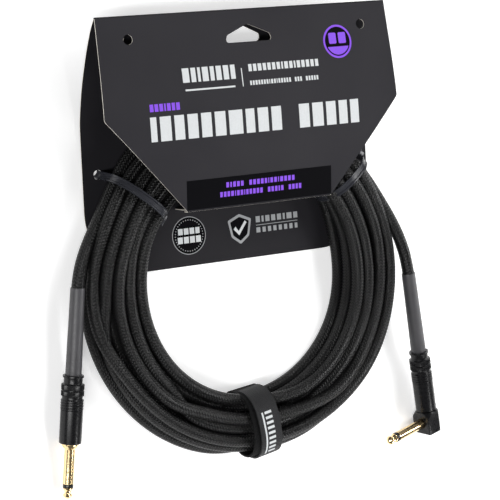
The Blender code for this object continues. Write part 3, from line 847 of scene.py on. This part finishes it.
def prints(materials):
    pale, purple, black, dim = [materials[f"ink_{color}"] for color in ("pale", "purple", "black", "dim")]
    front, back = (FRONT_PROFILE, "card_front_body"), (BACK_PROFILE, "root")
    title = (0.5, 0.9, 0.8, 0.85, 0.85, 0.9, 1.15, 0.75, 0.9, 0.85, 0, 0.9, 0.95, 0.85, 0.75, 0.75)
    printed("title", words(-73, 73, -74.0, -59.5, title, 0.28), front, 0, pale)
    mark = words(-48.5, -12.5, -41.0, -32.5, (1.0, 0.7, 0.4, 0.9, 0.6, 0.8, 0.8, 0.7), 0.3)
    rule = bar(-47.5, -13.5, -46.0, -45.0)
    printed("mark", mark + [rule], front, 0, pale)
    line = (0.8, 0.8, 0.9, 0.8, 0.8, 0.8, 0.8, 0.4, 0.9, 0.8, 0.4, 0.8, 0.8, 0.8, 0.8, 0.8)
    upper = words(-3.0, 46.8, -37.3, -33.0, line, 0.35)
    lower = words(-3.0, 45.6, -45.6, -42.9, line + (0, 0.8, 0.8, 0.8, 0, 0.9, 0.8, 0.8, 0.8, 0.8), 0.45)
    printed("tagline", upper + lower + [bar(-8.3, -7.7, -46.0, -35.0)], front, 0, pale)
    small = words(-72.5, -52.5, -56.4, -52.0, (0.9, 0.9, 0.9, 0.4, 0.9, 0.8, 0.9), 0.3)
    printed("small_word", small, front, 0, purple)
    half, levels = FRONT_HALF_WIDTH, (-FRONT_DEPTH + 0.3, -111.0, -105.0, -99.0)
    rows = [[(-half, low), (half, low), (half, high), (-half, high)] for low, high in zip(levels, levels[1:])]
    printed("band", rows, front, 0, black)
    detail = (0.8, 0.5, 0.8, 0.8, 0.8, 0, 0.8, 0.8, 0.8, 0.8, 0.7, 0.3, 0.8, 0.8, 0.3, 0.9, 0.8, 0.8, 0.8)
    first = words(-24.0, 24.2, -105.4, -102.3, detail, 0.35)
    second = words(-28.3, 29.0, -110.9, -107.8, detail[::-1] + (0, 0.8, 0.8, 0.7, 0.8), 0.35)
    printed("band_text", first + second, front, 1, purple)
    badge = (62.8, -23.3)
    printed("badge_disc", [circle(*badge, 10.3, 48)], front, 0, purple)
    printed("badge_face", [circle(*badge, 9.0, 48)], front, 1, black)
    lower_part = [(x, y) for x, y in circle(*badge, 8.2, 48) if y < badge[1] - 2.6]
    lower_part.sort(key=lambda point: math.atan2(point[1] - badge[1], point[0] - badge[0]))
    marks = [bar(56.6, 62.0, -24.6, -17.8, 0.9), bar(63.6, 69.0, -24.6, -17.8, 0.9)]
    printed("badge_marks", marks + [lower_part], front, 2, purple)
    seal = (-35.0, -134.8)
    printed("seal_ring", [circle(*seal, 11.7, 48)], back, 0, dim)
    printed("seal_face", [circle(*seal, 11.25, 48)], back, 1, black)
    seal_words = words(-42.5, -27.5, -134.0, -130.2, (1, 1, 1, 0.9), 0.25)
    seal_words += words(-43.0, -27.0, -139.4, -135.4, (1, 1, 1, 1), 0.25)
    printed("seal_words", seal_words, back, 2, pale)
    dots = [circle(seal[0] + 9.6 * math.cos(turn), seal[1] + 9.6 * math.sin(turn), 0.35, 8)
            for turn in (math.radians(10 * i) for i in range(36))]
    printed("seal_dots", dots, back, 2, dim)
    shield = [(1.2, -144.2, 1.2), (7.5, -139.5, 3.0), (9.6, -129.0, 1.0), (1.2, -125.4, 1.4),
              (-7.2, -129.0, 1.0), (-5.1, -139.5, 3.0)]
    printed("shield", [filleted(shield, 4)], back, 0, dim)
    inner = [(1.2 + (x - 1.2) * 0.8, -134.4 + (y + 134.4) * 0.8, radius * 0.8) for x, y, radius in shield]
    printed("shield_face", [filleted(inner, 4)], back, 1, black)
    tick = [(-3.4, -134.6), (-1.9, -133.0), (0.2, -136.0), (4.9, -129.8), (6.2, -131.0), (0.4, -138.6)]
    printed("shield_tick", [tick], back, 2, pale)
    caption = words(13.0, 43.6, -132.0, -128.2, (0.8, 0.4, 0.8, 0.8, 0.8, 0.4, 1.0, 0.8), 0.35)
    caption += words(13.0, 43.2, -138.4, -135.2, (1.0, 0.8, 0.8, 0.8, 0.8, 0.8, 0.8, 0.7), 0.6)
    caption.append(bar(13.0, 43.4, -133.9, -133.5))
    printed("caption", caption, back, 0, dim)


# ---- Ties and strap ----

def cable_tie(side, loop, head, materials):
    """A nylon tie: a thin band with a ridge along each edge, and its ratchet head."""
    half, thin, thick = TIE_WIDTH / 2, 0.45, 0.75
    section = [(-half, -thin), (half, -thin), (half, thick), (half - 0.9, thick), (half - 1.3, thin * 0.5),
               (-half + 1.3, thin * 0.5), (-half + 0.9, thick), (-half, thick)]
    frame_of_tie = coil_frame(TIE_ANGLES[side])
    path = spline(loop, 8, closed=True)
    band = ribbon(f"tie_band_{side}", path, section, frame_of_tie, materials["nylon"])
    finish_piece(band, "root", "tie_nylon", f"cable_tie_{side}")
    reach, height, turn = head
    box = bpy.data.meshes.new(f"tie_head_{side}")
    shape = bmesh.new()
    bmesh.ops.create_cube(shape, size=1.0)
    bmesh.ops.scale(shape, vec=(4.4 * MM, 6.0 * MM, (TIE_WIDTH + 2.4) * MM), verts=shape.verts)
    bmesh.ops.bevel(shape, geom=shape.edges[:], offset=0.8 * MM, segments=3, profile=0.5, affect="EDGES")
    shape.to_mesh(box)
    shape.free()
    place = Matrix.Translation((reach * MM, height * MM, 0)) @ Matrix.Rotation(math.radians(turn), 4, "Z")
    box.transform(frame_of_tie @ place)
    box.materials.append(materials["nylon"])
    shade_smooth(box, 30.0)
    finish_piece(new_object(box.name, box), "root", "tie_nylon")


def ties(materials):
    left = [(72.0, 0.95), (71.4, 3.0), (70.9, 8.0), (71.5, 16.0), (74.4, 22.4), (80.4, 26.8), (89.4, 28.2),
            (99.0, 26.9), (107.6, 22.8), (112.2, 17.4), (114.2, 10.5), (115.8, 3.2), (115.2, 0.95),
            (92.0, 0.9)]
    right = [(78.0, 0.95), (76.6, 3.2), (75.0, 8.0), (75.4, 16.0), (78.0, 22.6), (83.2, 27.0), (90.6, 28.5),
             (97.6, 28.2), (104.6, 26.6), (109.4, 23.0), (111.8, 18.0), (113.4, 11.0), (115.4, 3.2),
             (115.0, 0.95), (94.0, 0.9)]
    cable_tie("left", left, (68.6, 8.0, 0), materials)
    cable_tie("right", right, (117.6, 5.6, 0), materials)


def strap(materials):
    """The hook-and-loop strap: a pile loop round the bundle under a smooth woven outer band."""
    loop = [(68.2, 3.0), (67.7, 9.0), (68.1, 16.5), (70.8, 23.0), (77.0, 27.3), (87.0, 28.4), (96.6, 27.2),
            (103.4, 23.4), (107.2, 17.5), (108.2, 10.5), (106.4, 4.2), (101.0, 1.15), (88.0, 0.85),
            (73.0, 0.95)]
    half, thick = 9.4, 0.65
    section = [(-half, -thick), (half, -thick), (half + 0.2, 0), (half, thick), (-half, thick),
               (-half - 0.2, 0)]
    matrix = coil_frame(STRAP_ANGLE, STRAP_TURN - 3, 1.6)
    under = ribbon("strap_pile", spline(loop, 8, closed=True), section, matrix, materials["pile"])
    finish_piece(under, "root", "strap_nylon", "wrap_strap")
    matrix = coil_frame(STRAP_ANGLE, STRAP_TURN)
    outer = [(66.6, 12.0), (67.0, 18.0), (69.6, 24.4), (75.2, 28.6), (81.5, 29.9), (88.0, 29.9), (94.6, 29.3),
             (101.0, 26.9), (106.2, 22.6), (109.2, 16.8), (110.0, 10.4), (108.6, 4.6)]
    half, thick = 7.4, 0.55
    section = [(-half, -thick), (half, -thick), (half, thick), (-half, thick)]
    path = spline(outer, 8)
    for name, run, body, *nodes in (("strap_band_start", path[:BAND_HINGE + 1], "root"),
                                    ("strap_band", path[BAND_HINGE:], "strap_tail_body", "wrap_strap_tail")):
        band = ribbon(name, run, section, matrix, materials["strap"], closed=False)
        strip_uv(band, STRAP_WEAVE * MM)
        finish_piece(band, body, "strap_nylon", *nodes)
    first, last, step, length = MARKS
    marks = [(f"strap_mark_{number}", path[start:start + length], -2.6, 2.2)
             for number, start in enumerate(range(first, last - length, step))]
    for name, run, left, right in marks + [("strap_mark_line", path[first:last], 3.3, 4.4)]:
        section = [(left, 0.57), (right, 0.57), (right, 0.64), (left, 0.64)]
        made = ribbon(name, run, section, matrix, materials["ink_pale"], closed=False)
        finish_piece(made, "strap_tail_body", "strap_nylon")


# ---- Plugs ----

def softened(outline, radius=0.14):
    """The outline with every corner that has room rounded a little."""
    corners = []
    for i, (x, y) in enumerate(outline):
        before = math.dist((x, y), outline[i - 1])
        after = math.dist((x, y), outline[(i + 1) % len(outline)])
        corners.append((x, y, radius if min(before, after) > 2.6 * radius else 0))
    return filleted(corners, 3)


def barrel_outline():
    outer = [(6.3, 0), (6.7, -0.4), (6.7, -20.2)]
    for rib in range(4):
        top = -20.4 - 1.6 * rib
        outer += [(6.45, top), (6.85, top - 0.2), (6.85, top - 1.1), (6.45, top - 1.3)]
    outer += [(6.2, -26.9), (6.2, -28.5), (6.9, -28.8), (6.9, -31.6), (6.4, -31.9), (6.4, -32.2)]
    outer += [(6.9, -32.5), (6.9, -35.6), (5.6, -36.0), (5.6, -39.4), (6.25, -39.7), (6.25, -BARREL_LENGTH)]
    return outer + [(5.05, -BARREL_LENGTH), (5.05, -35.5), (5.6, -34.9), (5.6, 0)]


def knurl(radius, height, angle):
    """Fine teeth round the barrel's two rings."""
    if radius < 6.8 or height > -28:
        return 0.0
    return -0.09 * (1 + math.cos(KNURL_TEETH * angle))


def plug_parts(side, matrix, boot_length, materials):
    """The barrel and boot, which both plugs have."""
    outline = softened(barrel_outline())
    barrel = lathe(f"{side}_barrel_shell", outline, matrix, materials["barrel"], 4 * KNURL_TEETH, knurl)
    finish_piece(barrel, f"{side}_barrel_body", "black_metal", f"{side}_barrel")
    far = -BARREL_LENGTH - boot_length
    outline = [(4.85, -38.0), (4.85, -46.0), (4.72, -58.0), (4.52, -74.0), (4.38, far + 4.0),
               (4.34, far + 0.5), (4.2, far), (3.95, far), (3.95, -38.0)]
    boot = lathe(f"{side}_boot_sleeve", softened(outline, 0.12), matrix, materials["boot"], 72)
    finish_piece(boot, "root", "boot_rubber", f"{side}_boot")


def contact_parts(side, matrix, top, collar, rod_end, materials):
    """The gold sleeve, the black ring and the gold tip."""
    ring_bottom = top - TIP_LENGTH - RING_WIDTH - 0.6
    bottom = collar[-1][1]
    body = [(SHAFT_RADIUS - 0.15, ring_bottom), (SHAFT_RADIUS, ring_bottom - 0.15)] + collar
    outline = softened(body + [(1.95, bottom), (1.95, ring_bottom)], 0.1)
    sleeve = lathe(f"{side}_sleeve_shell", outline, matrix, materials["gold"])
    finish_piece(sleeve, "root", "gold", f"{side}_sleeve")
    low = ring_bottom + 0.3
    high = low + RING_WIDTH
    outline = softened([(SHAFT_RADIUS, high), (SHAFT_RADIUS, low), (1.25, low), (1.25, high)], 0.12)
    band = lathe(f"{side}_ring", outline, matrix, materials["ring"])
    finish_piece(band, "root", "insulator", f"{side}_tip_ring")
    base = top - TIP_LENGTH
    nose = spline([(3.0, base + 4.2), (2.7, base + 5.0), (1.9, base + 5.9), (0.95, base + 6.55)], 5)[::-1]
    waist = spline([(2.62, base + 3.85), (2.05, base + 3.2), (1.98, base + 2.6), (2.3, base + 1.6),
                    (2.95, base + 0.5)], 5)
    outline = [(0.0, top), (0.5, top - 0.08), *nose, *waist, (3.05, base), (1.0, base), (1.0, rod_end),
               (0.0, rod_end)]
    tip = lathe(f"{side}_tip_contact", outline, matrix, materials["gold"])
    finish_piece(tip, "root", "gold", f"{side}_tip")


def bevelled_copy(node, name, width, material):
    """The node's own shape with its edges rounded."""
    obj = new_object(name, frame["nodes"][node].data.copy())
    obj.data.materials.clear()
    obj.data.materials.append(material)
    shape = bmesh.new()
    shape.from_mesh(obj.data)
    bmesh.ops.remove_doubles(shape, verts=shape.verts, dist=0.00001)
    bmesh.ops.dissolve_limit(shape, angle_limit=math.radians(2), verts=shape.verts, edges=shape.edges)
    shape.to_mesh(obj.data)
    shape.free()
    bevel = obj.modifiers.new("Bevel", "BEVEL")
    bevel.width = width * MM
    bevel.segments = 3
    bevel.limit_method = "ANGLE"
    bevel.angle_limit = math.radians(24)
    bevel.use_clamp_overlap = True
    return settled(obj)


def plugs(materials):
    along = Vector(STRAIGHT_DIRECTION).normalized()
    front = at(*STRAIGHT_BOOT_TOP) + along * (BOOT_LENGTH + BARREL_LENGTH) * MM
    straight = axis_frame(front, along)
    plug_parts("straight", straight, BOOT_LENGTH, materials)
    collar = [(SHAFT_RADIUS, 3.6), (3.5, 3.1), (4.2, 2.6), (5.1, 1.1), (5.3, 0.4), (5.3, -6.0), (3.4, -6.0),
              (3.4, -9.3)]
    contact_parts("straight", straight, SHAFT_LENGTH, collar, -12.6, materials)
    along = Vector(ELBOW_DIRECTION).normalized()
    centre = at(*ELBOW_CENTRE)
    outward = Vector(CONTACT_DIRECTION)
    outward = (outward - along * outward.dot(along)).normalized()
    angled = axis_frame(centre - along * ELBOW_REACH * MM, along, outward)
    plug_parts("angled", angled, ANGLED_BOOT_LENGTH, materials)
    contact = axis_frame(centre, outward, along)
    contact_parts("angled", contact, ANGLED_SHAFT_LENGTH, [(SHAFT_RADIUS, 3.2)], -2.6, materials)
    housing = bevelled_copy("angled_elbow_housing", "angled_housing", 0.45, materials["barrel"])
    finish_piece(housing, "root", "black_metal", "angled_elbow_housing")


def inner_pieces(materials):
    """The pieces inside the plugs keep their CAD shapes and take finer materials."""
    looks = {"liner_plastic": "liner", "tinned_steel": "tinned", "core_plastic": "core", "copper": "copper",
             "insulator": "ring"}
    for part in frame["record"]["subparts"]:
        look = looks.get(part["material_slot"])
        node = frame["nodes"][part["node"]]
        if look:
            node.data.materials.clear()
            node.data.materials.append(materials[look])


# ---- Camera and light ----

def main_camera():
    data = bpy.data.cameras.new("camera")
    data.lens = 138.7
    data.sensor_width = 36.0
    obj = new_object("camera", data)
    obj.matrix_world = frame_of((0.85917, -0.07021, 0.50685), (0.11584, 0.99151, -0.05900),
                                (-0.49841, 0.10940, 0.86001), at(-591.93, -17.15, 1036.08))
    bpy.context.scene.camera = obj


def area_light(name, place, size, power):
    """A soft light that faces the frame's origin."""
    data = bpy.data.lights.new(name, "AREA")
    data.shape = "RECTANGLE"
    data.size, data.size_y = size
    data.energy = power
    new_object(name, data).matrix_world = axis_frame(Vector(place), place, (0, 1, 0))


def studio():
    paint = Shader("floor", (0.9, 0.9, 0.9), 0.7, Emission_Color=(1, 1, 1, 1), Emission_Strength=FLOOR_GLOW)
    corners = [(-4, -4, 0), (4, -4, 0), (4, 4, 0), (-4, 4, 0)]
    floor = add_mesh("floor", corners, [(0, 1, 2, 3)], paint.material)
    floor.location.z = -0.0002
    world = bpy.data.worlds.new("studio")
    world.use_nodes = True
    color, strength = world.node_tree.nodes["Background"].inputs[:2]
    color.default_value = (1, 1, 1, 1)
    strength.default_value = WORLD_GLOW
    bpy.context.scene.world = world
    area_light("far", (0.9, 1.3, 1.3), (1.6, 0.3), 21)
    area_light("right", (1.75, -0.1, 0.95), (0.3, 1.6), 19)
    area_light("left", (-1.5, -0.3, 1.6), (0.3, 1.4), 28)
    area_light("near", (0.9, -1.5, 1.1), (1.4, 0.3), 20)
    bpy.context.scene.view_settings.view_transform = "Standard"


def all_materials():
    return {
        "braid": braid_material(),
        "strap": strap_material(),
        "pile": pile_material(),
        "card": card_material("card_face", 1.0),
        # The rear panel and the folds are the same board with their colour darkened: painted shade.
        "card_rear_painted_shade": card_material("card_rear_painted_shade", 0.72),
        "card_edge": card_edge_material(),
        # Painted shade for the folds.
        "card_fold_painted_shade": card_material("card_fold_painted_shade", 0.7),
        "ink_pale": ink_material("ink_pale", (0.66, 0.68, 0.69)),
        "ink_dim": ink_material("ink_dim", (0.36, 0.37, 0.38)),
        "ink_purple": ink_material("ink_purple", (0.25, 0.09, 0.75)),
        "ink_black": ink_material("ink_black", (0.003, 0.003, 0.004), 0.5, 0.03),
        "nylon": moulded_material("tie_nylon", (0.02, 0.021, 0.026), 0.24, 120.0, 0.003),
        "barrel": black_barrel_material(),
        "boot": moulded_material("boot_rubber", (0.047, 0.046, 0.05), 0.44, 900.0, 0.02),
        "gold": plated_material("gold_plating", (1.0, 0.78, 0.45), 0.18, (0.96, 0.72, 0.38)),
        "ring": moulded_material("ring_plastic", (0.006, 0.006, 0.006), 0.25, 600.0, 0.03),
        "liner": moulded_material("liner_plastic", (0.6, 0.6, 0.56), 0.45),
        "tinned": plated_material("tinned_steel", (0.6, 0.6, 0.58), 0.32, (0.5, 0.5, 0.49)),
        "core": moulded_material("core_plastic", (0.62, 0.6, 0.55), 0.5),
        "copper": plated_material("copper_strands", (0.75, 0.4, 0.24), 0.3, (0.6, 0.3, 0.18), (1, 1, 8)),
    }


materials = all_materials()
main_camera()
cable_piece, cable_path = cable(materials)
card(materials)
prints(materials)
ties(materials)
strap(materials)
plugs(materials)
inner_pieces(materials)
studio()
